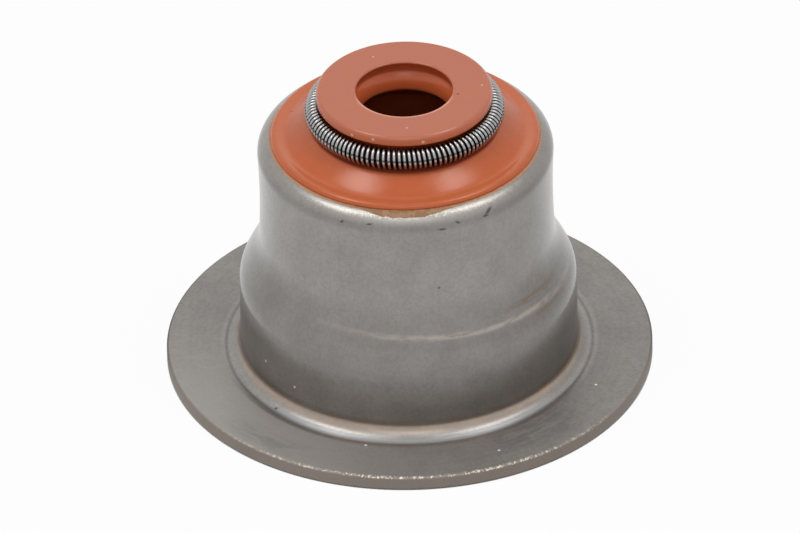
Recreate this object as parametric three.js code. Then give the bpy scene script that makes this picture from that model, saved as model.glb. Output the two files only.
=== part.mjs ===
// Valve stem seal with a spring seat flange: a drawn steel shell, a moulded rubber seal on its rim
// and a garter spring round the rubber's neck. Millimetres, +Z up along the bore, with the origin
// at the centre of the flange's underside.
import * as THREE from 'three';

// Steel shell, one drawn sheet. Radii are those of its outside surface.
const sheetThickness = 0.93;
const flangeRadius = 15.5;
const flangeEdgeRound = 0.16;
const footFillet = 0.9;
const lowerWallRadius = 10.75;
const shoulderHeight = 5.85;
const shoulderRound = 2.6;
const coneAngle = 28;
const coneTopBlend = 3.8;
const upperWallRadius = 9.38;
const waistDepth = 0.14;
const rimFlare = 0.02;
const rimHeight = 16.65;
const rimRound = 1.1;
const rimInsideRound = 0.15;
const rimHoleRadius = 6.2;

// Film between the rubber and the steel that it is bonded to.
const bondFilm = 0.03;

// Garter spring. The coil radius is measured to the outside of the wire.
const springRingRadius = 5.62;
const springCoilRadius = 0.72;
const springWire = 0.22;
const springWireGap = 0.0535;
const springRise = 1.95;
const springClearance = 0.03;

// Rubber ring on the rim, from its outer bead to the shoulder under the spring.
const ringInset = 0.85;
const ringBead = 0.3;
const ringDipWidth = 0.55;
const ringDip = 0.09;
const slopeFlatShare = 0.42;
const slopeSteepShare = 0.26;
const slopeSteepness = 0.54;
const shoulderWrap = 105;

// Rubber head above the spring.
const headRadius = 5.6;
const headThickness = 0.65;
const headEdgeRound = 0.28;
const headEdgeAngle = 52;
const headLowerRound = 0.09;
const headGap = 0.18;
const neckFillet = 0.25;

// Bore for the valve stem, with the sealing lip.
const stemRadius = 3.0;
const mouthClearance = 0.07;
const mouthRound = 0.12;
const mouthUndercut = 0.3;
const undercutDepth = 0.8;
const lipInterference = 0.07;
const lipDepth = 1.8;
const lipLand = 0.2;
const lipBackDepth = 0.9;
const reliefClearance = 0.8;

// Socket for the valve guide, inside the shell.
const guideRadius = 6.0;
const socketRoof = 0.8;
const socketLeadIn = 0.4;
const ribCount = 3;
const ribHeight = 0.15;
const ribSpacing = 1.3;

// Fineness of the model.
const latheSegments = 48;
const coilSteps = 7;
const wireSides = 4;

const point = (radius, height) => new THREE.Vector2(radius, height);
const radians = THREE.MathUtils.degToRad;

// Points of an arc about a centre, between two angles in degrees, both ends included.
function arc(centre, radius, from, to, steps) {
  const points = [];
  for (let i = 0; i <= steps; i += 1) {
    const angle = radians(from + ((to - from) * i) / steps);
    points.push(point(centre.x + radius * Math.cos(angle), centre.y + radius * Math.sin(angle)));
  }
  return points;
}

// Turns a profile of radius and height about the bore's axis. The profile closes on itself.
function turned(profile) {
  const geometry = new THREE.LatheGeometry([...profile, profile[0]], latheSegments);
  return geometry.rotateX(Math.PI / 2);
}

// Centres of the sheet's bends, and the height at which the cone meets the upper wall.
const footCentre = point(lowerWallRadius + footFillet, sheetThickness + footFillet);
const shoulderCentre = point(lowerWallRadius - shoulderRound, shoulderHeight);
const slant = radians(coneAngle);
const coneTop = point(
  shoulderCentre.x + shoulderRound * Math.cos(slant),
  shoulderCentre.y + shoulderRound * Math.sin(slant),
);
const coneRun = coneTop.x - upperWallRadius;
const coneRise = (coneTopBlend * (1 - Math.cos(slant)) + coneRun * Math.cos(slant)) / Math.sin(slant);
const blendCentre = point(upperWallRadius + coneTopBlend, coneTop.y + coneRise);
const rimRadius = upperWallRadius + rimFlare;

// The upper wall, drawn in at its waist, at some depth inside its outside surface.
function upperWall(inset, top) {
  const bottom = blendCentre.y;
  const waist = point(upperWallRadius - waistDepth - inset, (bottom + top) / 2);
  const start = point(upperWallRadius - inset, bottom);
  const end = point(rimRadius - inset, top);
  return new THREE.QuadraticBezierCurve(start, waist, end).getPoints(4);
}

// Centre of the round in the corner inside the rim.
const rimInsideCentre = point(
  rimRadius - sheetThickness - rimInsideRound,
  rimHeight - sheetThickness - rimInsideRound,
);

function shellProfile() {
  const edge = flangeRadius - flangeEdgeRound;
  const rimCentre = point(rimRadius - rimRound, rimHeight - rimRound);
  const outside = [
    ...arc(point(edge, flangeEdgeRound), flangeEdgeRound, -90, 0, 2),
    ...arc(point(edge, sheetThickness - flangeEdgeRound), flangeEdgeRound, 0, 90, 2),
    ...arc(footCentre, footFillet, 270, 180, 5),
    ...arc(shoulderCentre, shoulderRound, 0, coneAngle, 4),
    ...arc(blendCentre, coneTopBlend, 180 + coneAngle, 180, 4).slice(0, -1),
    ...upperWall(0, rimHeight - rimRound),
    ...arc(rimCentre, rimRound, 0, 90, 4).slice(1),
    point(rimHoleRadius, rimHeight),
  ];
  const inside = [
    point(rimHoleRadius, rimHeight - sheetThickness),
    ...arc(rimInsideCentre, rimInsideRound, 90, 0, 2),
    ...upperWall(sheetThickness, rimInsideCentre.y).reverse().slice(1),
    ...arc(blendCentre, coneTopBlend + sheetThickness, 180, 180 + coneAngle, 4).slice(1),
    ...arc(shoulderCentre, shoulderRound - sheetThickness, coneAngle, 0, 3),
    ...arc(footCentre, footFillet + sheetThickness, 180, 270, 5),
  ];
  return [...outside, ...inside];
}

// Places that the rubber and the spring share.
const springHeight = rimHeight + springRise;
const grooveRadius = springCoilRadius + springClearance;
const springCentre = point(springRingRadius, springHeight);
const headUnderside = springHeight + springCoilRadius + headGap;
const headTop = headUnderside + headThickness;

// The ring on the rim: an outer bead, a shallow dip, and a hollow slope up to the spring's shoulder.
function ringProfile() {
  const foot = rimHeight + bondFilm;
  const beadCentre = point(rimRadius - ringInset - ringBead, foot);
  const dip = point(beadCentre.x - ringDipWidth, foot + ringBead - ringDip);
  const groove = arc(springCentre, grooveRadius, 180 + shoulderWrap, 180, 5);
  const shoulder = groove[0];
  const run = dip.x - shoulder.x;
  const rise = shoulder.y - dip.y;
  const flatEnd = point(dip.x - run * slopeFlatShare, dip.y);
  const steepStart = point(
    shoulder.x + run * slopeSteepShare,
    shoulder.y - rise * slopeSteepness,
  );
  const slope = new THREE.CubicBezierCurve(dip, flatEnd, steepStart, shoulder);
  return [...arc(beadCentre, ringBead, 0, 90, 3), ...slope.getPoints(6).slice(0, -1), ...groove];
}

// The disc: its side rounds inward and meets the flat top at a plain edge.
function headProfile() {
  const neck = springRingRadius - grooveRadius;
  const lowerEdge = point(headRadius - headLowerRound, headUnderside + headLowerRound);
  const upperEdge = point(headRadius - headEdgeRound, headTop - headEdgeRound);
  const side = arc(upperEdge, headEdgeRound, 0, headEdgeAngle, 3);
  const last = side[side.length - 1];
  const flatRadius = last.x - (headTop - last.y) * Math.tan(radians(headEdgeAngle));
  return [
    ...arc(point(neck + neckFillet, headUnderside - neckFillet), neckFillet, 180, 90, 2),
    ...arc(lowerEdge, headLowerRound, -90, 0, 1),
    ...side,
    point(flatRadius, headTop),
  ];
}

// The mouth, the undercut below it, the cone down to the sealing lip, and the relief behind the lip.
function boreProfile() {
  const mouth = stemRadius + mouthClearance;
  const lip = stemRadius - lipInterference;
  const lipEnd = headTop - lipDepth - lipLand;
  return [
    ...arc(point(mouth + mouthRound, headTop - mouthRound), mouthRound, 90, 180, 2),
    point(mouth + mouthUndercut, headTop - undercutDepth),
    point(lip, headTop - lipDepth),
    point(lip, lipEnd),
    point(stemRadius + reliefClearance, lipEnd - lipBackDepth),
  ];
}

// The guide's socket, from its roof down past the retaining ribs to its lead-in at the bottom.
function socketProfile() {
  const roof = rimHeight - sheetThickness - bondFilm - socketRoof;
  const bottom = blendCentre.y;
  const points = [point(stemRadius + reliefClearance, roof), point(guideRadius, roof)];
  for (let i = 0; i < ribCount; i += 1) {
    const height = roof - ribSpacing * (i + 1);
    points.push(point(guideRadius, height + ribHeight * 2));
    points.push(point(guideRadius - ribHeight, height));
    points.push(point(guideRadius, height - ribHeight * 2));
  }
  points.push(point(guideRadius, bottom + socketLeadIn));
  points.push(point(guideRadius + socketLeadIn, bottom));
  return points;
}

// The rubber against the steel: up the inside of the upper wall, round the inner corner and
// through the rim's hole.
function bondProfile() {
  const ceiling = rimHeight - sheetThickness - bondFilm;
  return [
    ...upperWall(sheetThickness + bondFilm, rimInsideCentre.y),
    ...arc(rimInsideCentre, rimInsideRound - bondFilm, 0, 90, 2).slice(1),
    point(rimHoleRadius - bondFilm, ceiling),
    point(rimHoleRadius - bondFilm, rimHeight + bondFilm),
  ];
}

function sealProfile() {
  return [
    ...ringProfile(),
    ...headProfile(),
    ...boreProfile(),
    ...socketProfile(),
    ...bondProfile(),
  ];
}

// A right-handed coil whose axis is a circle: at turn phase p the wire's centre lies at
// ring radius + c cos p and at height -c sin p, while p runs through every turn in one lap.
class GarterCurve extends THREE.Curve {
  constructor(ringRadius, wireCentreRadius, turns) {
    super();
    this.ringRadius = ringRadius;
    this.wireCentreRadius = wireCentreRadius;
    this.turns = turns;
    this.arcLengthDivisions = turns * coilSteps * 4;
  }

  getPoint(t, target = new THREE.Vector3()) {
    const lap = 2 * Math.PI * t;
    const phase = lap * this.turns;
    const radius = this.ringRadius + this.wireCentreRadius * Math.cos(phase);
    const height = -this.wireCentreRadius * Math.sin(phase);
    return target.set(radius * Math.cos(lap), radius * Math.sin(lap), height);
  }
}

function springGeometry() {
  const wireCentreRadius = springCoilRadius - springWire / 2;
  const innerCircle = 2 * Math.PI * (springRingRadius - wireCentreRadius);
  const turns = Math.floor(innerCircle / (springWire + springWireGap));
  const path = new GarterCurve(springRingRadius, wireCentreRadius, turns);
  return new THREE.TubeGeometry(path, turns * coilSteps, springWire / 2, wireSides, true);
}

const steel = new THREE.MeshStandardMaterial({ color: 0x8f8a84, roughness: 0.42, metalness: 1 });
const rubber = new THREE.MeshStandardMaterial({ color: 0xb9684a, roughness: 0.5, metalness: 0 });
const springSteel = new THREE.MeshStandardMaterial({ color: 0xb4b4b6, roughness: 0.25, metalness: 1 });

function named(name, geometry, material) {
  const mesh = new THREE.Mesh(geometry, material);
  mesh.name = name;
  return mesh;
}

const seal = new THREE.Group();
seal.add(named('steel_shell', turned(shellProfile()), steel));
seal.add(named('rubber_seal', turned(sealProfile()), rubber));

const spring = named('garter_spring', springGeometry(), springSteel);
spring.position.z = springHeight;
seal.add(spring);

export default seal;
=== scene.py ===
"""Dresses a valve stem seal: a drawn steel shell with a wide flange, a terracotta rubber head bonded
to its rim and a bright garter spring in the rubber's groove.

Every form is a surface of revolution or a coil, worked out here in millimetres as whole arrays and
written to its mesh in metres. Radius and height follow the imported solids, which the pieces replace,
but for a straighter slope beside the spring, a rounder lip in the bore and a finer wire.
"""
import math

import bpy
import numpy as np
from mathutils import Matrix, Vector


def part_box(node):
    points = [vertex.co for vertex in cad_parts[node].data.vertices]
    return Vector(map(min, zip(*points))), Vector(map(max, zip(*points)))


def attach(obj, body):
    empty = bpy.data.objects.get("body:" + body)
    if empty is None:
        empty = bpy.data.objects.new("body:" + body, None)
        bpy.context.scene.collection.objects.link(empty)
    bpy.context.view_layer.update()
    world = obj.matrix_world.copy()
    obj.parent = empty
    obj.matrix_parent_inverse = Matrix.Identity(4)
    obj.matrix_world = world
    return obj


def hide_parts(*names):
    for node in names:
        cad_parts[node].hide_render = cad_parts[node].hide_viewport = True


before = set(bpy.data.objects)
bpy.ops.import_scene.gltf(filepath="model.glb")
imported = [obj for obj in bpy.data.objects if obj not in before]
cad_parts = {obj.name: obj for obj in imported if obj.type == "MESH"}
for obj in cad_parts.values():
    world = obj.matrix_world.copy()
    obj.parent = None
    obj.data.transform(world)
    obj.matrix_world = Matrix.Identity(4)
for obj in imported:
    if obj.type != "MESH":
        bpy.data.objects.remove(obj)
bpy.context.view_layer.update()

MM = 0.001
BODY = "root"

# Sizes read from the frame
SHELL_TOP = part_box("steel_shell")[1] / MM
SEAL_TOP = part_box("rubber_seal")[1] / MM
FLANGE_RADIUS = SHELL_TOP.x
RIM_HEIGHT = SHELL_TOP.z
HEAD_TOP = SEAL_TOP.z

# Steel shell, one sheet; radii are those of its outside
SHEET = 0.93
EDGE_ROUND = 0.16
FOOT_FILLET = 0.9
LOWER_WALL = 10.75
SHOULDER_HEIGHT = 5.85
SHOULDER_ROUND = 2.6
CONE_ANGLE = 28
CONE_BLEND = 3.8
UPPER_WALL = 9.38
WAIST = 0.14
RIM_RADIUS = 9.4
RIM_ROUND = 1.1
RIM_INSIDE_ROUND = 0.15
RIM_HOLE = 6.2
BOND = 0.03

# Garter spring
RING_RADIUS = 5.62
COIL_RADIUS = 0.72
WIRE = 0.2
TURNS = 115
SPRING_HEIGHT = RIM_HEIGHT + 1.95
GROOVE_RADIUS = COIL_RADIUS + 0.03
GROOVE_WRAP = 105

# Rubber; the slope beside the spring has its shape from shares of its run and rise, and the lip's
# cone from points of radius and depth
RING_EDGE = 8.55
RING_BEAD = 0.3
RING_DIP_WIDTH = 0.55
RING_DIP = 0.09
CREST_REACH = 0.3
DIP_REACH = 0.2
SLOPE_LEVEL = 0.12
SLOPE_RUN = 0.26
SLOPE_DROP = 0.13
HEAD_RADIUS = 5.6
HEAD_ROUND = 0.28
HEAD_EDGE = 0.08
HEAD_EDGE_ANGLE = 38
HEAD_LOWER_ROUND = 0.09
HEAD_UNDERSIDE = HEAD_TOP - 0.65
NECK_FILLET = 0.25
MOUTH = 3.07
MOUTH_ROUND = 0.12
UNDERCUT = 3.37
UNDERCUT_DEPTH = 0.8
LIP = 2.93
LIP_DEPTH = 1.8
LIP_LAND = 0.2
LIP_BACK = 0.9
LIP_CURVE = [(3.36, 0.98), (3.05, 1.12), (LIP, 1.5)]
RELIEF = 3.8
SOCKET = 6.0
SOCKET_ROOF = RIM_HEIGHT - SHEET - BOND - 0.8
LEAD_IN = 0.4
RIBS = 3
RIB_HEIGHT = 0.15
RIB_SPACING = 1.3

# Film of bonding residue on the rim; its front reaches FILM_FRONT radians to either side
FILM_START = RING_EDGE - 0.12
FILM_WIDTH = 0.26
FILM_RAGGED = 0.05
FILM_FRONT = 0.27
FILM_FRONT_WIDTH = 0.38
FILM_FRONT_RAGGED = 0.12
FILM_THICKNESS = 0.035
FILM_EDGE = 0.004
FILM_SUNK = 0.03

# Wear, stains, and painted light and shade seen in the photograph, in millimetres, and degrees from the
# front. A band is its centre and its reach to either side; an onset, an end or a pair of radii runs from
# none to full
WALL_RADII = (11.5, 11.1)
# Lower wall darker towards the foot, and more so on the right
WALL_DARKER_ONSET = (5.4, 2.6)
SIDE_DARKER_ONSET = (5.0, 2.4)
SIDE_DARKER_BAND = (72, 42)
RUST_BAND = (1.8, 0.36)
RUST_RADII = (11.6, 11.2)
# Painted highlight, pale and warm, on the foot's fillet
WARM_HIGHLIGHT_BAND = (1.42, 0.36)
WARM_HIGHLIGHT_RADII = (11.7, 11.5)
CREASE_ONSET = (24, 66)
COAT_ONSET = (4.4, 5.6)
CONE_RADII = (9.3, 9.45)
# Painted shade on the sides of the walls
CONE_SIDE_SHADE_BANDS = [(72, 48, 1.0), (-72, 32, 0.5)]
CONE_SIDE_SHADE_ONSET = (5.0, 7.0)
CONE_SHADE_ONSET = (3.2, 4.8)
CONE_SHADE_END = (10.2, 8.2)
CONE_SHADE_RADII = (9.2, 9.3)
RING_LEAN = 0.045
# Painted highlight ring on the cone, and painted shade under it
HIGHLIGHT_RING_BAND = (7.87, 0.24)
HIGHLIGHT_RING_TURNS = (26, 72)
UNDER_RING_SHADE_BAND = (7.35, 0.5)
UNDER_RING_SHADE_TURNS = (20, 95)
BROWN_STREAKS = [(8.55, 0.3, 55, 24), (7.52, 0.18, 60, 17)]
RIM_SHADE_BAND = (15.75, 0.5)
RIM_SCUFF_ONSET = (15.78, 16.2)
# Painted glint: bright chips on the rim's top, only in front
RIM_GLINT_BAND = (16.42, 0.2)
RIM_FRONT = (4, 62)
FACE_RADII = (11.9, 12.2)
# Painted light: the left of the flange paler
LIT_FLANGE_TURNS = (-48, 62)
FLANGE_SMUDGES = [(37, 24, 13.1, 2.2, 1.0), (-40, 18, 14.2, 1.3, 0.8)]
# Painted shade: a dark line along the flange's edge behind
FLANGE_BACK_SHADE_ONSET = (70, 100)
# Painted glint: bright chips along the flange's top edge in front
FLANGE_GLINT_TURNS = (2, 62)
FILLET_RADII = (10.8, 11.0)
FILLET_ONSET = (1.9, 1.7)
RIM_TICKS = [
    (-26.0, 15.83, 1.0, 0.16, 4.0), (-14.8, 15.97, 1.6, 0.10, 8.0), (20.0, 15.83, 1.1, 0.14, -5.0),
    (13.6, 15.55, 2.2, 0.12, -9.0), (33.6, 15.97, 1.6, 0.28, 7.0), (32.0, 15.72, 1.8, 0.10, 0.0),
]
STEEL_SPECKS = [
    (-2.92, -11.73, 0.93, 0.13), (5.51, -12.62, 0.93, 0.11), (-9.16, -5.63, 3.37, 0.12),
    (-7.36, -7.84, 2.83, 0.11), (11.79, -5.55, 0.93, 0.10),
]
STEEL_PITS = [(1.95, -9.18, 11.10, 0.12), (-8.57, -7.50, 0.97, 0.13)]
RUBBER_FLECKS = [
    (-1.92, 3.74, 20.15, 0.09), (0.12, -4.42, 20.15, 0.09), (-3.35, -4.48, 19.75, 0.12),
    (-2.03, -5.22, 19.85, 0.12), (1.13, -5.49, 19.75, 0.13), (4.93, 0.24, 20.15, 0.09),
]
RUBBER_PITS = [(3.40, -0.70, 20.15, 0.12), (-7.19, 2.56, 17.01, 0.16)]

# Photograph's camera: the axis at the base lands on ORIGIN_PIXEL of an 800 by 533 picture
PICTURE = (800, 533)
ORIGIN_PIXEL = (409.8, 351.2)
PIXELS_PER_MM = 15.66
ELEVATION = 34.53
ROLL = 1.25
DISTANCE = 1240.0
SENSOR = 36.0

# Point in metres that the lamps face
LAMP_TARGET = (0, 0, 0.01)

FINE = 1


def arc(centre, radius, start, end, steps=10):
    """Points at centre + radius (cos a, sin a), with a from start to end in degrees."""
    angle = np.radians(np.linspace(start, end, steps + 1))
    return np.stack([centre[0] + radius * np.cos(angle), centre[1] + radius * np.sin(angle)], 1)


def straight(start, end, spacing=0.8, margin=0.05):
    """Points on the line between start and end, with one at the margin from each end, so that the
    shading of a round beside it stays narrow."""
    start, end = np.array(start, float), np.array(end, float)
    length = np.linalg.norm(end - start)
    inner = np.linspace(margin, length - margin, max(2, int(length / spacing) + 1))
    share = np.concatenate([[0.0], inner, [length]]) / length
    return start + share[:, None] * (end - start)


def bezier(controls, steps=16):
    """Bernstein sum of the control points over a parameter from 0 to 1."""
    controls = np.array(controls, float)
    degree = len(controls) - 1
    t = np.linspace(0, 1, steps + 1)[:, None]
    weights = [math.comb(degree, k) * t**k * (1 - t) ** (degree - k) for k in range(degree + 1)]
    return sum(weight * control for weight, control in zip(weights, controls))


def joined(*pieces):
    """The pieces of an outline end to end, without points that repeat."""
    outline = np.concatenate(pieces)
    step = np.linalg.norm(outline - np.roll(outline, 1, 0), axis=1)
    return outline[step > 1e-5]


def grid_mesh(name, points):
    """A closed mesh from points[i, j] in millimetres, which wraps round in both directions."""
    rows, columns = points.shape[:2]
    i, j = np.meshgrid(np.arange(rows), np.arange(columns), indexing="ij")
    row, next_row, beside = i * columns, (i + 1) % rows * columns, (j + 1) % columns
    faces = np.stack([row + j, next_row + j, next_row + beside, row + beside], -1).reshape(-1, 4)
    flat = points.reshape(-1, 3) * MM
    a, b, c, d = (flat[faces[:, k]] for k in range(4))
    volume = (a * np.cross(b, c)).sum() + (a * np.cross(c, d)).sum()
    if volume < 0:
        faces = faces[:, ::-1]
    mesh = bpy.data.meshes.new(name)
    mesh.vertices.add(len(flat))
    mesh.vertices.foreach_set("co", flat.ravel())
    mesh.loops.add(faces.size)
    mesh.loops.foreach_set("vertex_index", faces.ravel())
    mesh.polygons.add(len(faces))
    mesh.polygons.foreach_set("loop_start", np.arange(0, faces.size, 4))
    mesh.polygons.foreach_set("use_smooth", np.ones(len(faces), bool))
    mesh.update(calc_edges=True)
    mesh.validate()
    piece = bpy.data.objects.new(name, mesh)
    bpy.context.scene.collection.objects.link(piece)
    return piece


def turned(name, outline, segments):
    """Outline (radius, height) carried round the bore: x = r cos a, y = r sin a, z = height."""
    angle = np.linspace(0, 2 * np.pi, segments, endpoint=False)[:, None]
    radius, height = outline[:, 0], outline[:, 1]
    points = np.stack(np.broadcast_arrays(radius * np.cos(angle), radius * np.sin(angle), height), -1)
    return grid_mesh(name, points)


def dress(piece, node, material):
    """The piece stands for its CAD node, rides on the one body and wears its material."""
    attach(piece, BODY)
    if node:
        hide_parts(node)
    piece.data.materials.append(material)


# Bends of the sheet, shared by its outside and its inside
SLANT = math.radians(CONE_ANGLE)
FOOT = (LOWER_WALL + FOOT_FILLET, SHEET + FOOT_FILLET)
SHOULDER = (LOWER_WALL - SHOULDER_ROUND, SHOULDER_HEIGHT)
CONE_TOP_R = SHOULDER[0] + SHOULDER_ROUND * math.cos(SLANT)
CONE_TOP_Z = SHOULDER[1] + SHOULDER_ROUND * math.sin(SLANT)
CONE_RUN = CONE_TOP_R - UPPER_WALL
CONE_RISE = (CONE_BLEND * (1 - math.cos(SLANT)) + CONE_RUN * math.cos(SLANT)) / math.sin(SLANT)
BLEND = (UPPER_WALL + CONE_BLEND, CONE_TOP_Z + CONE_RISE)
RIM = (RIM_RADIUS - RIM_ROUND, RIM_HEIGHT - RIM_ROUND)
RIM_INSIDE = (RIM_RADIUS - SHEET - RIM_INSIDE_ROUND, RIM_HEIGHT - SHEET - RIM_INSIDE_ROUND)


def upper_wall(inset, top):
    """The waisted upper wall from the cone's end to its top, at a depth inside the outside face."""
    bottom = BLEND[1]
    waist = (UPPER_WALL - WAIST - inset, (bottom + top) / 2)
    return bezier([(UPPER_WALL - inset, bottom), waist, (RIM_RADIUS - inset, top)])


def shell_outline():
    """Flange edge, flange, foot, lower wall, shoulder, cone, upper wall and rim, then back inside."""
    edge = FLANGE_RADIUS - EDGE_ROUND
    outside_shoulder = arc(SHOULDER, SHOULDER_ROUND, 0, CONE_ANGLE, 12)
    outside_blend = arc(BLEND, CONE_BLEND, 180 + CONE_ANGLE, 180, 6)
    outside_foot = arc(FOOT, FOOT_FILLET, 270, 180, 14)
    inside_foot = arc(FOOT, FOOT_FILLET + SHEET, 180, 270, 12)
    return joined(
        arc((edge, EDGE_ROUND), EDGE_ROUND, -90, 0, 5),
        arc((edge, SHEET - EDGE_ROUND), EDGE_ROUND, 0, 90, 5),
        straight((edge, SHEET), outside_foot[0]),
        outside_foot,
        straight(outside_foot[-1], outside_shoulder[0]),
        outside_shoulder,
        straight(outside_shoulder[-1], outside_blend[0]),
        outside_blend,
        upper_wall(0, RIM[1]),
        arc(RIM, RIM_ROUND, 0, 90, 10),
        straight((RIM[0], RIM_HEIGHT), (RIM_HOLE, RIM_HEIGHT)),
        straight((RIM_HOLE, RIM_HEIGHT - SHEET), (RIM_INSIDE[0], RIM_HEIGHT - SHEET)),
        arc(RIM_INSIDE, RIM_INSIDE_ROUND, 90, 0, 4),
        upper_wall(SHEET, RIM_INSIDE[1])[::-1],
        arc(BLEND, CONE_BLEND + SHEET, 180, 180 + CONE_ANGLE, 6),
        arc(SHOULDER, SHOULDER_ROUND - SHEET, CONE_ANGLE, 0, 10),
        inside_foot,
        straight((FOOT[0], 0), (edge, 0)),
    )


def head_edge():
    """Side of the head disc: a round that stops where its face still slopes by HEAD_EDGE_ANGLE, then
    along its tangent to a small crisp round that ends on the flat top."""
    stop = 90 - HEAD_EDGE_ANGLE
    sine, cosine = math.sin(math.radians(stop)), math.cos(math.radians(stop))
    side = arc((HEAD_RADIUS - HEAD_ROUND, HEAD_TOP - HEAD_ROUND), HEAD_ROUND, 0, stop, 6)
    slid = (HEAD_TOP - HEAD_EDGE * (1 - sine) - side[-1][1]) / cosine
    crisp_centre = (side[-1][0] - slid * sine - HEAD_EDGE * cosine, HEAD_TOP - HEAD_EDGE)
    return np.concatenate([side, arc(crisp_centre, HEAD_EDGE, stop, 90, 4)])


def guide_ribs():
    """Grip ribs of the guide socket, RIB_SPACING apart from its roof down, each a low triangle."""
    heights = SOCKET_ROOF - RIB_SPACING * np.arange(1, RIBS + 1)
    middles = np.stack([np.full(RIBS, SOCKET), heights], 1)
    corners = np.array([(0, 2), (-1, 0), (0, -2)]) * RIB_HEIGHT
    return (middles[:, None] + corners).reshape(-1, 2)


def seal_outline():
    """Ring on the rim, spring groove, head, bore with its lip, guide socket, and bonded faces."""
    foot, ceiling = RIM_HEIGHT + BOND, RIM_HEIGHT - SHEET - BOND
    bead = (RING_EDGE - RING_BEAD, foot)
    bead_top = foot + RING_BEAD
    dip = (bead[0] - RING_DIP_WIDTH, bead_top - RING_DIP)
    crest_end, dip_start = (dip[0] + CREST_REACH, bead_top), (dip[0] + DIP_REACH, dip[1])
    groove = arc((RING_RADIUS, SPRING_HEIGHT), GROOVE_RADIUS, 180 + GROOVE_WRAP, 180, 18)
    shoulder = groove[0]
    run, rise = dip[0] - shoulder[0], shoulder[1] - dip[1]
    slope_start = (dip[0] - run * SLOPE_LEVEL, dip[1])
    slope_end = (shoulder[0] + run * SLOPE_RUN, shoulder[1] - rise * SLOPE_DROP)
    neck = RING_RADIUS - GROOVE_RADIUS
    side = head_edge()
    mouth = arc((MOUTH + MOUTH_ROUND, HEAD_TOP - MOUTH_ROUND), MOUTH_ROUND, 90, 180, 5)
    undercut = (UNDERCUT, HEAD_TOP - UNDERCUT_DEPTH)
    lip_curve = [(radius, HEAD_TOP - depth) for radius, depth in LIP_CURVE]
    lip_end = HEAD_TOP - LIP_DEPTH - LIP_LAND
    socket_end = BLEND[1]
    return joined(
        arc(bead, RING_BEAD, 0, 90, 8),
        bezier([(bead[0], bead_top), crest_end, dip_start, dip], 10),
        bezier([dip, slope_start, slope_end, shoulder], 22),
        groove,
        straight((neck, SPRING_HEIGHT), (neck, HEAD_UNDERSIDE - NECK_FILLET)),
        arc((neck + NECK_FILLET, HEAD_UNDERSIDE - NECK_FILLET), NECK_FILLET, 180, 90, 5),
        arc(
            (HEAD_RADIUS - HEAD_LOWER_ROUND, HEAD_UNDERSIDE + HEAD_LOWER_ROUND), HEAD_LOWER_ROUND, -90, 0, 4
        ),
        side,
        straight(side[-1], mouth[0]),
        mouth,
        bezier([mouth[-1], (UNDERCUT, HEAD_TOP - UNDERCUT_DEPTH / 2), undercut], 8),
        bezier([undercut, *lip_curve, (LIP, lip_end)], 16),
        straight((LIP, lip_end), (RELIEF, lip_end - LIP_BACK), 0.2),
        straight((RELIEF, lip_end - LIP_BACK), (RELIEF, SOCKET_ROOF)),
        straight((RELIEF, SOCKET_ROOF), (SOCKET, SOCKET_ROOF)),
        guide_ribs(),
        straight((SOCKET, socket_end + LEAD_IN), (SOCKET + LEAD_IN, socket_end)),
        upper_wall(SHEET + BOND, RIM_INSIDE[1]),
        arc(RIM_INSIDE, RIM_INSIDE_ROUND - BOND, 0, 90, 3),
        straight((RIM_INSIDE[0], ceiling), (RIM_HOLE - BOND, ceiling)),
        straight((RIM_HOLE - BOND, ceiling), (RIM_HOLE - BOND, foot), 0.4),
        straight((RIM_HOLE - BOND, foot), (RING_EDGE, foot)),
    )


def garter(name):
    """Wire circle carried along a coil whose own axis is a circle. At phase p the wire's centre is
    at ring radius + c cos p and height - c sin p; p makes TURNS turns in one lap of the ring, and
    the lap angle is uneven by a slow sine, as hand-joined coils are."""
    steps, sides = ((22, 12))
    centre = COIL_RADIUS - WIRE / 2
    unevenness, swings, shift = 0.06, 7, 0.8
    share = np.linspace(0, 2 * np.pi, TURNS * steps, endpoint=False)
    phase = share * TURNS
    lap = share + unevenness / swings * np.sin(swings * share + shift)
    zero = np.zeros_like(lap)
    radial = np.stack([np.cos(lap), np.sin(lap), zero], -1)
    upward = np.stack([zero, zero, zero + 1], -1)
    outward = radial * np.cos(phase)[:, None] - upward * np.sin(phase)[:, None]
    line = radial * RING_RADIUS + outward * centre
    along = np.roll(line, -1, 0) - np.roll(line, 1, 0)
    along /= np.linalg.norm(along, axis=1)[:, None]
    across = np.cross(along, outward)
    across /= np.linalg.norm(across, axis=1)[:, None]
    normal = np.cross(across, along)
    turn = np.linspace(0, 2 * np.pi, sides, endpoint=False)[None, :, None]
    points = line[:, None] + WIRE / 2 * (normal[:, None] * np.cos(turn) + across[:, None] * np.sin(turn))
    points[..., 2] += SPRING_HEIGHT
    return grid_mesh(name, points)


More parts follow.
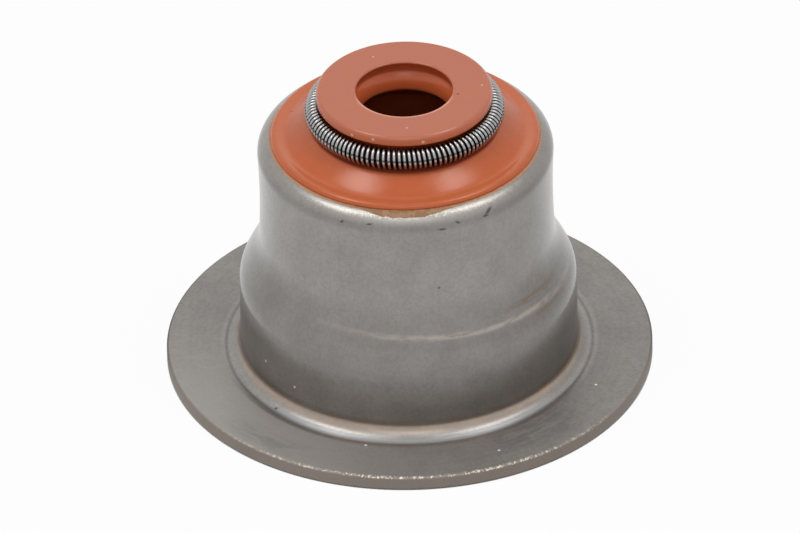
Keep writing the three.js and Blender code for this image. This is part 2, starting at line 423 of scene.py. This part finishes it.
def bond_flash(name):
    """Thin skin of bonding residue round the rim's corner. Its cross-section is an arc about the
    corner's centre that starts under the rubber's edge. The arc's length varies round the rim by a
    sum of cosines, whose sizes fall with their number, and is greatest in front. The skin thins
    with the cube of the share of its length, to just under the steel at its free edge, and its back
    lies inside the sheet."""
    count, steps = 960 // FINE, 12
    angle = np.linspace(0, 2 * np.pi, count, endpoint=False)
    draw = np.random.default_rng(11)
    waves = np.arange(3, 90)
    sizes = draw.normal(size=len(waves)) / waves**0.55
    shifts = draw.uniform(0, 2 * np.pi, len(waves))
    wobble = (sizes * np.cos(np.outer(angle, waves) + shifts)).sum(1)
    wobble /= np.abs(wobble).max()
    from_front = (angle + np.pi / 2 + np.pi) % (2 * np.pi) - np.pi
    front = np.exp(-((from_front / FILM_FRONT) ** 4))
    front_width = front * (FILM_FRONT_WIDTH + FILM_FRONT_RAGGED * wobble)
    width = FILM_WIDTH + FILM_RAGGED * wobble + front_width
    share = np.linspace(0, 1, steps + 1)
    bend = (FILM_START - RIM[0] + width[:, None] * share) / RIM_ROUND
    face = RIM_ROUND + FILM_THICKNESS * (1 - share**3) - FILM_EDGE
    back = np.full(steps + 1, RIM_ROUND - FILM_SUNK)
    reach = np.concatenate([face, back])
    bend = np.concatenate([bend, bend[:, ::-1]], 1)
    radius, height = RIM[0] + reach * np.sin(bend), RIM[1] + reach * np.cos(bend)
    points = np.stack([radius * np.cos(angle)[:, None], radius * np.sin(angle)[:, None], height], -1)
    return grid_mesh(name, points)


class Socket:
    """A shader value. Arithmetic on it adds Math nodes."""

    def __init__(self, nodes, link):
        self.nodes = nodes
        self.link = link

    def math(self, operation, *others):
        return self.nodes.node("ShaderNodeMath", {"operation": operation}, [self, *others])

    def __add__(self, other):
        return self.math("ADD", other)

    def __mul__(self, other):
        return self.math("MULTIPLY", other)

    def __sub__(self, other):
        return self.math("SUBTRACT", other)

    def __pow__(self, other):
        return self.math("POWER", other)

    def __rsub__(self, other):
        return (self * -1) + other

    def __neg__(self):
        return self * -1

    __radd__ = __add__
    __rmul__ = __mul__

    def over(self, low, high):
        """0 at low and 1 at high, with a smooth step between them."""
        settings = {"interpolation_type": "SMOOTHSTEP"}
        inputs = {"Value": self, "From Min": low, "From Max": high}
        return self.nodes.node("ShaderNodeMapRange", settings, inputs)

    def near(self, centre, reach):
        """1 at centre and for 0.15 of the reach on either side, then falling to 0 at the reach."""
        return 1 - (self - centre).math("ABSOLUTE").over(reach * 0.15, reach)


class Nodes:
    """The nodes of a material or a world, which start empty."""

    def __init__(self, tree):
        self.tree = tree
        self.tree.nodes.clear()

    def node(self, kind, settings=None, inputs=(), out=0):
        """One node of that kind: its settings are set first, then its inputs by name or place."""
        made = self.tree.nodes.new(kind)
        for key, value in (settings or {}).items():
            setattr(made, key, value)
        pairs = inputs.items() if isinstance(inputs, dict) else enumerate(inputs)
        for key, value in pairs:
            if isinstance(value, Socket):
                self.tree.links.new(value.link, made.inputs[key])
            elif value is not None:
                made.inputs[key].default_value = value
        return made if out is None else Socket(self, made.outputs[out])

    def seen_directly(self):
        """1 for rays from the camera and for those that metal or glass sends on, 0 for diffuse ones."""
        path = self.node("ShaderNodeLightPath", out=None)
        kinds = ("Is Camera Ray", "Is Glossy Ray", "Is Transmission Ray")
        camera, glossy, through = (Socket(self, path.outputs[kind]) for kind in kinds)
        return camera.math("MAXIMUM", glossy).math("MAXIMUM", through)


class Surface(Nodes):
    """A material for one finish, with object coordinates in millimetres ready to use: x, y, z, the
    distance r from the axis, and the turn round it in degrees from the front. The meridian falls
    steadily along the sheet's outline, down the walls and out along the flange."""

    def __init__(self, name):
        self.material = bpy.data.materials.new(name)
        self.material.use_nodes = True
        super().__init__(self.material.node_tree)
        place = self.node("ShaderNodeTexCoord", out="Object")
        self.place = self.vector("SCALE", place, scale=1 / MM)
        parts = self.node("ShaderNodeSeparateXYZ", inputs=[self.place], out=None)
        self.x, self.y, self.z = (Socket(self, parts.outputs[axis]) for axis in "XYZ")
        self.r = (self.x * self.x + self.y * self.y) ** 0.5
        self.meridian = self.z - self.r
        self.round = self.vector("NORMALIZE", self.xyz(self.x, self.y, 0))
        self.turn = self.x.math("ARCTAN2", -self.y) * math.degrees(1)

    def vector(self, operation, *inputs, scale=None):
        inputs = dict(enumerate(inputs)) | {"Scale": scale}
        return self.node("ShaderNodeVectorMath", {"operation": operation}, inputs, out="Vector")

    def xyz(self, x, y, z):
        return self.node("ShaderNodeCombineXYZ", inputs=[x, y, z])

    def around(self, turns, lengths):
        """Coordinates for a pattern on the turned faces: round the axis by turns, along the sheet's
        outline by lengths per millimetre."""
        spread = self.vector("SCALE", self.round, scale=turns)
        return self.vector("ADD", spread, self.xyz(0, 0, self.meridian * lengths))

    def noise(self, place, scale, detail=2.0, rough=0.5):
        inputs = {"Vector": place, "Scale": scale, "Detail": detail, "Roughness": rough}
        return self.node("ShaderNodeTexNoise", inputs=inputs, out="Fac")

    def mix(self, factor, first, second):
        """The first colour at 0 and the second at 1."""
        settings = {"data_type": "RGBA"}
        return self.node("ShaderNodeMix", settings, {0: factor, 6: first, 7: second}, out=2)

    def shade(self, factor, colour, gain):
        """The colour times gain where factor is 1, unchanged where it is 0."""
        settings = {"data_type": "RGBA", "blend_type": "MULTIPLY"}
        inputs = {0: factor, 6: colour, 7: (gain, gain, gain, 1)}
        return self.node("ShaderNodeMix", settings, inputs, out=2)

    def specks(self, spots):
        """1 in the small round spots (x, y, z, reach) in millimetres, 0 outside them."""
        total = 0
        for x, y, z, reach in spots:
            inputs = [self.place, (x, y, z)]
            away = self.node("ShaderNodeVectorMath", {"operation": "DISTANCE"}, inputs, out="Value")
            total = total + away.over(reach, reach * 0.6)
        return total

    def marks(self, strokes):
        """1 in the strokes (turn, height, half width in degrees, half height, lean), 0 outside them."""
        total = 0
        for turn, height, wide, tall, lean in strokes:
            leaning = self.turn - (self.z - height) * lean
            total = total + leaning.near(turn, wide) * self.z.near(height, tall)
        return total

    def bump(self, height, distance, strength=1.0):
        inputs = {"Strength": strength, "Distance": distance * MM, "Height": height}
        return self.node("ShaderNodeBump", inputs=inputs)

    def finish(self, constants, **links):
        """The Principled shader: constants on its own sockets, and what varies by links."""
        varying = {key.replace("_", " "): value for key, value in links.items()}
        shader = self.node("ShaderNodeBsdfPrincipled", inputs=constants | varying)
        self.node("ShaderNodeOutputMaterial", inputs={"Surface": shader}, out=None)
        return self.material


def srgb(red, green, blue):
    """A display colour of 0 to 255 as the linear colour of a socket."""
    def linear(value):
        value /= 255
        return value / 12.92 if value <= 0.04045 else ((value + 0.055) / 1.055) ** 2.4
    return (linear(red), linear(green), linear(blue), 1.0)


def foot_rust_shade_and_highlights(steel, tone, smears):
    """Lower wall and foot: darker towards the foot and more so to the right, a rusty line, a pale and
    warm painted highlight on the fillet under it, and round the foot a painted shade in the crease at
    the sides and behind and a painted highlight in front."""
    r, z = steel.r, steel.z
    wall = r.over(*WALL_RADII)
    right = steel.turn.near(*SIDE_DARKER_BAND)
    # Darker towards the foot, and more so on the right
    tone = steel.shade(z.over(*WALL_DARKER_ONSET) * wall, tone, 0.94)
    tone = steel.shade(z.over(*SIDE_DARKER_ONSET) * wall * right, tone, 0.83)
    rust = z.near(*RUST_BAND) * r.over(*RUST_RADII) * (0.45 + smears.over(0.35, 0.65) * 0.4)
    tone = steel.mix(rust * (0.55 + right * 0.35), tone, srgb(128, 100, 76))
    # Painted highlight, pale and warm, on the fillet
    warm = z.near(*WARM_HIGHLIGHT_BAND) * r.over(*WARM_HIGHLIGHT_RADII) * (0.22 + smears.over(0.3, 0.6) * 0.22)
    tone = steel.mix(warm, tone, srgb(188, 162, 138))
    sides = steel.turn.math("ABSOLUTE").over(*CREASE_ONSET)
    # Painted shade in the crease round the foot, at the sides and behind
    crease = r.near(FOOT[0] + 0.04, 0.17) * z.over(SHEET + 0.12, SHEET + 0.05) * sides
    tone = steel.mix(crease * 0.42, tone, srgb(84, 80, 78))
    # Painted highlight, bluish white, along the foot in front
    front_highlight = r.near(FOOT[0] - 0.12, 0.3) * z.over(SHEET + 0.37, SHEET + 0.17) * (1 - sides)
    return steel.mix(front_highlight * 0.85, tone, srgb(200, 206, 214))


def cone_shade_highlight_and_stains(steel, tone, smears):
    """Cone: painted shade at its sides from the shoulder up and from the shoulder to its middle, a pale
    painted highlight ring that drops a little to the right, a faint painted shade under the ring, and
    brown streaks beside it at the right."""
    r, z, turn = steel.r, steel.z, steel.turn
    # Painted shade on the sides, from the shoulder up
    sides = sum(turn.near(centre, reach) * share for centre, reach, share in CONE_SIDE_SHADE_BANDS)
    tone = steel.shade(sides * z.over(*CONE_SIDE_SHADE_ONSET), tone, 0.77)
    # Painted shade from the shoulder to the cone's middle
    lower = z.over(*CONE_SHADE_END) * z.over(*CONE_SHADE_ONSET) * r.over(*CONE_SHADE_RADII)
    tone = steel.shade(lower, tone, 0.8)
    cone = r.over(*CONE_RADII)
    ring = z + steel.x * RING_LEAN
    # Painted shade under the highlight ring
    under = ring.near(*UNDER_RING_SHADE_BAND) * turn.near(*UNDER_RING_SHADE_TURNS)
    tone = steel.shade(under * cone, tone, 0.9)
    # Painted highlight: a pale, broken ring just above the shoulder
    ring_highlight = ring.near(*HIGHLIGHT_RING_BAND) * turn.near(*HIGHLIGHT_RING_TURNS) * smears.over(0.3, 0.6)
    tone = steel.mix(ring_highlight * cone * 0.34, tone, srgb(206, 192, 178))
    brown = sum(ring.near(high, tall) * turn.near(at, wide) for high, tall, at, wide in BROWN_STREAKS)
    return steel.mix(brown * cone * smears.over(0.34, 0.56) * 0.65, tone, srgb(112, 90, 72))


def scuffed_rim(steel, tone, scuffs):
    """Rim: a soft dark band beneath a corner whose scuffs, chips and dark ticks are mostly in front; the
    bright chips on its top are a painted glint, only in front. Gives the tone, and how much the corner
    is worn."""
    r, z = steel.r, steel.z
    tone = steel.shade(z.near(*RIM_SHADE_BAND) * r.over(RIM[0], RIM[0] + 0.2), tone, 0.84)
    front = steel.turn.near(*RIM_FRONT)
    corner = z.over(*RIM_SCUFF_ONSET) * r.over(RIM[0] - 0.1, RIM[0])
    worn = corner * (0.25 + front * 0.75) * (0.4 + scuffs.over(0.36, 0.62) * 0.6)
    tone = steel.mix(worn * 0.7, tone, srgb(158, 153, 146))
    # Painted glint: bright chips on the corner's top, only in front
    chips = z.near(*RIM_GLINT_BAND) * r.over(RIM[0], RIM[0] + 0.1) * scuffs.over(0.5, 0.58) * front
    tone = steel.mix(chips * 0.6, tone, srgb(206, 202, 192))
    return steel.mix(steel.marks(RIM_TICKS) * 0.8, tone, srgb(52, 44, 40)), worn


def worn_flange(steel, tone, smears, scuffs):
    """Flange: faint turned rings, a paler left that is painted light, smudges, a dull edge with a painted
    shade along it behind, and bright chips along its top in front that are a painted glint. Gives the
    tone, and where the flat face is."""
    r, z, turn = steel.r, steel.z, steel.turn
    face = z.over(SHEET + 0.09, SHEET + 0.03) * r.over(*FACE_RADII)
    turned_rings = steel.noise(steel.xyz(0, 0, r * 2.6), 1.0, 2.0, 0.5)
    tone = steel.shade(turned_rings.over(0.4, 0.7) * face * 0.7, tone, 0.94)
    # Painted light: the left of the flange paler
    tone = steel.mix(face * turn.near(*LIT_FLANGE_TURNS) * 0.75, tone, srgb(168, 164, 159))
    smudges = 0
    for centre, wide, radius, deep, share in FLANGE_SMUDGES:
        smudges = smudges + turn.near(centre, wide) * r.near(radius, deep) * share
    tone = steel.shade(smudges * smears.over(0.3, 0.6) * face, tone, 0.74)
    edge = r.over(FLANGE_RADIUS - 0.2, FLANGE_RADIUS - 0.06)
    tone = steel.mix(edge * 0.75, tone, srgb(128, 117, 108))
    # Painted shade: a dark bluish line along the edge behind
    back = r.over(FLANGE_RADIUS - 0.14, FLANGE_RADIUS - 0.07) * turn.math("ABSOLUTE").over(*FLANGE_BACK_SHADE_ONSET)
    tone = steel.mix(back * 0.8, tone, srgb(82, 83, 92))
    lip = r.over(FLANGE_RADIUS - 0.3, FLANGE_RADIUS - 0.16) * z.over(SHEET - 0.12, SHEET - 0.06)
    # Painted glint: bright chips along the top edge, only in front
    chips = lip * scuffs.over(0.5, 0.58) * turn.near(*FLANGE_GLINT_TURNS)
    return steel.mix(chips * 0.75, tone, srgb(232, 224, 208)), face


def drawn_steel():
    """Satin drawn sheet with fine mottling and streaks along the draw, and the wear and the painted light
    and shade of each part of it. From the shoulder up it has a thin glossy coat."""
    steel = Surface("drawn_steel")
    streaks = steel.noise(steel.around(60, 0.5), 1.0, 3.0, 0.6)
    clouds = steel.noise(steel.place, 0.5, 4.0, 0.6)
    grain = steel.noise(steel.place, 5.0, 3.0, 0.65)
    blotches = steel.noise(steel.place, 2.2, 4.0, 0.7)
    scuffs = steel.noise(steel.around(90, 3.0), 1.0, 3.0, 0.7)
    smears = steel.noise(steel.around(7, 2.4), 1.0, 4.0, 0.65)
    tone = steel.mix(clouds.over(0.3, 0.7), srgb(144, 140, 136), srgb(152, 148, 144))
    tone = steel.shade(streaks.over(0.35, 0.7) * 0.5, tone, 0.95)
    tone = steel.shade(grain.over(0.4, 0.66) * 0.8, tone, 0.88)
    tone = steel.shade(blotches.over(0.42, 0.7) * 0.7, tone, 0.92)
    tone = foot_rust_shade_and_highlights(steel, tone, smears)
    tone = cone_shade_highlight_and_stains(steel, tone, smears)
    tone, worn = scuffed_rim(steel, tone, scuffs)
    tone, face = worn_flange(steel, tone, smears, scuffs)
    tone = steel.mix(steel.specks(STEEL_SPECKS) * 0.9, tone, srgb(244, 242, 238))
    tone = steel.mix(steel.specks(STEEL_PITS) * 0.75, tone, srgb(70, 64, 60))
    fillet = steel.r.over(*FILLET_RADII) * steel.z.over(*FILLET_ONSET)
    rough = 0.23 + fillet * 0.08 + grain * 0.08 + streaks * 0.04 + face * 0.22 + worn * 0.2
    relief = grain * 0.5 + streaks * 0.5 + worn * scuffs
    return steel.finish(
        {"Metallic": 1.0, "Coat Roughness": 0.12},
        Base_Color=tone,
        Roughness=rough,
        Coat_Weight=steel.z.over(*COAT_ONSET) * 0.45,
        Normal=steel.bump(relief, 0.006),
    )


def terracotta_rubber():
    """Moulded fluoroelastomer: even colour with a soft sheen; painted light makes it paler on the head's
    top and side, on the lip's cone and beside the bead; a painted highlight at the front of the bore's
    mouth, painted shade behind the lip and a painted shadow where the spring hides it, and a few light
    and dark flecks."""
    rubber = Surface("terracotta_rubber")
    r, z = rubber.r, rubber.z
    clouds = rubber.noise(rubber.place, 0.8, 3.0, 0.5)
    grain = rubber.noise(rubber.place, 14.0, 2.0, 0.5)
    tone = rubber.mix(clouds.over(0.3, 0.7), srgb(204, 96, 45), srgb(210, 101, 48))
    # Painted sheen: the head's flat top paler
    top = z.over(HEAD_TOP - 0.35, HEAD_TOP - 0.05)
    tone = rubber.mix(top * 0.8, tone, srgb(204, 122, 95))
    # Painted light: the head's side paler
    side = r.over(5.3, 5.4) * r.over(5.75, 5.65) * z.over(HEAD_UNDERSIDE - 0.1, HEAD_UNDERSIDE)
    tone = rubber.mix(side * z.over(HEAD_TOP - 0.1, HEAD_TOP - 0.25) * 0.3, tone, srgb(216, 116, 80))
    # Painted light: the lip's cone in the bore paler
    bore = r.over(3.5, 3.42) * z.over(HEAD_TOP - 2.02, HEAD_TOP - 1.8)
    tone = rubber.mix(bore * z.over(HEAD_TOP - 0.05, HEAD_TOP - 0.13) * 0.55, tone, srgb(228, 118, 76))
    # Painted shade deep in the bore behind the lip
    deep = r.over(4.3, 4.1) * z.over(HEAD_TOP - 1.98, HEAD_TOP - 2.1)
    tone = rubber.mix(deep * 0.75, tone, srgb(70, 26, 20))
    # Painted light: the dip beside the bead paler
    beside = r.near(7.95, 0.55) * z.over(RIM_HEIGHT + 0.6, RIM_HEIGHT + 0.4)
    tone = rubber.mix(beside * 0.45, tone, srgb(222, 134, 96))
    # Painted shadow of the spring in its groove
    groove = r.over(6.16, 5.98) * r.over(4.6, 4.8) * z.over(SPRING_HEIGHT, SPRING_HEIGHT - 0.5)
    tone = rubber.mix(groove * 0.85, tone, srgb(118, 34, 12))
    # Painted highlight on the front of the mouth's edge
    mouth = r.over(MOUTH + 0.26, MOUTH + 0.14) * z.over(HEAD_TOP - 0.12, HEAD_TOP - 0.05)
    tone = rubber.mix(mouth * rubber.y.over(-0.6, -1.8) * 0.8, tone, srgb(246, 176, 146))
    tone = rubber.mix(rubber.specks(RUBBER_FLECKS) * 0.7, tone, srgb(240, 206, 186))
    tone = rubber.mix(rubber.specks(RUBBER_PITS) * 0.6, tone, srgb(104, 62, 46))
    return rubber.finish(
        {"Metallic": 0.0, "IOR": 1.45},
        Base_Color=tone,
        Roughness=0.17 + grain * 0.08 + groove * 0.5,
        Normal=rubber.bump(grain, 0.003),
    )


def spring_wire():
    """Bright hard-drawn wire with a fine grain, a dark line along the coil's outer flank that is a painted
    reflection, and painted shade on its inner side."""
    wire = Surface("spring_wire")
    grain = wire.noise(wire.place, 22.0, 2.0, 0.6)
    tone = wire.mix(grain.over(0.3, 0.7), srgb(176, 175, 175), srgb(150, 149, 149))
    high, aside = wire.z - SPRING_HEIGHT, wire.r - RING_RADIUS
    flank = high.math("ARCTAN2", aside) * math.degrees(1)
    depth = (high * high + aside * aside) ** 0.5
    # Painted reflection: a dark line along the coil's outer flank
    tone = wire.shade(flank.near(15, 10), tone, 0.25)
    # Painted shade on the coil's inner side, so that the gaps between turns look black
    tone = wire.shade(depth.over(COIL_RADIUS - 0.08, COIL_RADIUS - 0.13), tone, 0.08)
    return wire.finish({"Metallic": 1.0}, Base_Color=tone, Roughness=0.14 + grain * 0.1)


def residue():
    """Dried bonding film, tan and broken."""
    film = Surface("bond_residue")
    patches = film.noise(film.place, 3.0, 4.0, 0.6)
    tone = film.mix(patches.over(0.35, 0.65), srgb(196, 148, 110), srgb(206, 132, 96))
    tone = film.mix(film.turn.near(-4, 48) * 0.85, tone, srgb(150, 110, 74))
    tone = film.mix(patches.over(0.46, 0.6) * 0.35, tone, srgb(208, 176, 140))
    return film.finish(
        {"Metallic": 0.0},
        Base_Color=tone,
        Roughness=0.55 + patches * 0.2,
        Normal=film.bump(patches, 0.02),
    )


def studio_world(fill):
    """White where it is seen, and a softer fill for diffuse light."""
    world = bpy.data.worlds.new("studio")
    bpy.context.scene.world = world
    world.use_nodes = True
    sky = Nodes(world.node_tree)
    strength = fill + sky.seen_directly() * (1 - fill)
    white = sky.node("ShaderNodeBackground", inputs={"Color": (1, 1, 1, 1), "Strength": strength})
    sky.node("ShaderNodeOutputWorld", inputs={"Surface": white}, out=None)


def pale_floor(size, white_share):
    """A wide pale floor that shows white and keeps a part of the object's shadow. Under the flange,
    where no light reaches, it stays matt."""
    half = size / 2
    corners = [(-half, -half, 0), (half, -half, 0), (half, half, 0), (-half, half, 0)]
    mesh = bpy.data.meshes.new("floor")
    mesh.from_pydata(corners, [], [(0, 1, 2, 3)])
    floor = bpy.data.objects.new("floor", mesh)
    bpy.context.scene.collection.objects.link(floor)
    material = bpy.data.materials.new("floor")
    material.use_nodes = True
    ground = Nodes(material.node_tree)
    place = ground.node("ShaderNodeTexCoord", out="Object")
    away = ground.node("ShaderNodeVectorMath", {"operation": "LENGTH"}, [place], out="Value")
    outside = away.math("GREATER_THAN", FLANGE_RADIUS * MM)
    white = ground.seen_directly() * white_share * outside
    matt = ground.node("ShaderNodeBsdfDiffuse", inputs={"Color": (0.85, 0.85, 0.85, 1)})
    glow = ground.node("ShaderNodeEmission")
    shown = ground.node("ShaderNodeMixShader", inputs=[white, matt, glow])
    ground.node("ShaderNodeOutputMaterial", inputs={"Surface": shown}, out=None)
    mesh.materials.append(material)


def softbox(name, place, size, radiance):
    """A square lamp in metres that faces the object, of that radiance over its face."""
    data = bpy.data.lights.new(name, "AREA")
    data.shape = "SQUARE"
    data.size = size
    data.energy = radiance * math.pi * size**2
    lamp = bpy.data.objects.new(name, data)
    lamp.location = place
    facing = Vector(LAMP_TARGET) - Vector(place)
    lamp.rotation_euler = facing.to_track_quat("-Z", "Y").to_euler()
    lamp.visible_camera = False
    bpy.context.scene.collection.objects.link(lamp)


def photograph_camera():
    """A long lens whose axis is turned so that the object's origin lands on ORIGIN_PIXEL."""
    slope, tilt = math.radians(ELEVATION), math.radians(ROLL)
    ahead = Vector((0, math.cos(slope), -math.sin(slope)))
    level, up = Vector((1, 0, 0)), Vector((0, math.sin(slope), math.cos(slope)))
    right = level * math.cos(tilt) - up * math.sin(tilt)
    above = level * math.sin(tilt) + up * math.cos(tilt)
    place = ahead * -DISTANCE
    aside = (PICTURE[0] / 2 - ORIGIN_PIXEL[0]) / PIXELS_PER_MM
    higher = (ORIGIN_PIXEL[1] - PICTURE[1] / 2) / PIXELS_PER_MM
    aim = (right * aside + above * higher - place).normalized()
    side = aim.cross(above).normalized()
    data = bpy.data.cameras.new("camera")
    data.sensor_width = SENSOR
    data.lens = PIXELS_PER_MM * DISTANCE * SENSOR / PICTURE[0]
    data.clip_start, data.clip_end = 0.01, 50.0
    camera = bpy.data.objects.new("camera", data)
    turn = Matrix((side, side.cross(aim), -aim)).transposed().to_4x4()
    camera.matrix_world = Matrix.Translation(place * MM) @ turn
    bpy.context.scene.collection.objects.link(camera)
    bpy.context.scene.camera = camera


photograph_camera()
segments = 384 // FINE
dress(turned("drawn_shell", shell_outline(), segments), "steel_shell", drawn_steel())
dress(turned("moulded_seal", seal_outline(), segments), "rubber_seal", terracotta_rubber())
dress(garter("coiled_garter"), "garter_spring", spring_wire())
dress(bond_flash("bond_flash"), None, residue())

studio_world(fill=0.32)
pale_floor(size=8.0, white_share=0.95)
softbox("left_softbox", place=(-0.42, -0.06, 0.90), size=0.36, radiance=5.7)
softbox("right_softbox", place=(0.44, -0.06, 0.90), size=0.36, radiance=5.0)
softbox("front_softbox", place=(0.0, -0.72, 0.86), size=0.55, radiance=1.3)
bpy.context.scene.view_settings.view_transform = "Standard"
